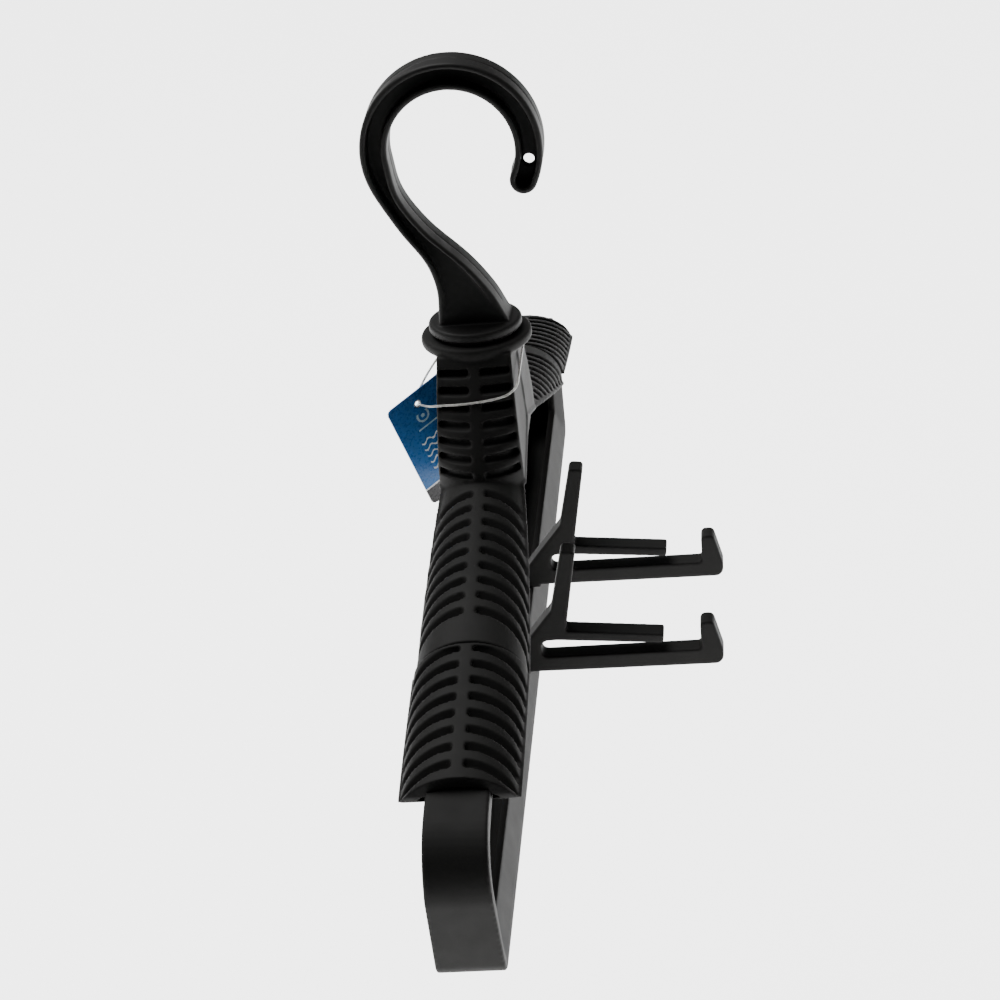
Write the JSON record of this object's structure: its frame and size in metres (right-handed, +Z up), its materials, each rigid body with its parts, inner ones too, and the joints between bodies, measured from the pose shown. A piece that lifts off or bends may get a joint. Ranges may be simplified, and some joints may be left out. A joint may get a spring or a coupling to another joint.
{
  "type": "wetsuit and dive gear hanger",
  "caption": "Wide moulded hanger with ribbed shoulders, swivel hook, closed lower loop and gear forks on its bar, for wetsuits and dive gear.",
  "frame": {"origin": "the point inside the top of the hook that bears on a rod, on the hook's swivel axis", "axes": "+X along the arms, -Y to the front where the gear forks point, +Z up along the swivel axis"},
  "size_m": [0.4764, 0.1296, 0.2674],
  "materials": {
    "black_plastic": "fine satin moulded polypropylene",
    "hook_plastic": "satin moulded nylon",
    "acetal": "smooth",
    "steel": "stainless",
    "card": "laminated card",
    "eyelet": "white",
    "nylon": "clear monofilament"
  },
  "bodies": {
    "hook": {"hook": "hook_plastic", "swivel_washer": "acetal", "retaining_washer": "steel", "retaining_screw": "steel"},
    "hanger": {"yoke": "black_plastic", "frame_loop": "black_plastic", "frame_screws": "steel", "shoulder_cap_right": "black_plastic", "shoulder_cap_left": "black_plastic", "gear_fork_left": "black_plastic", "gear_fork_right": "black_plastic", "tag_card": "card", "tag_eyelet": "eyelet", "tag_loop": "nylon"}
  },
  "joints": [
    {"name": "hook_swivel", "type": "hinge", "parent": "hook", "child": "hanger", "pos_m": [0, 0, -0.1024], "axis": [0, 0, 1], "continuous": true}
  ]
}
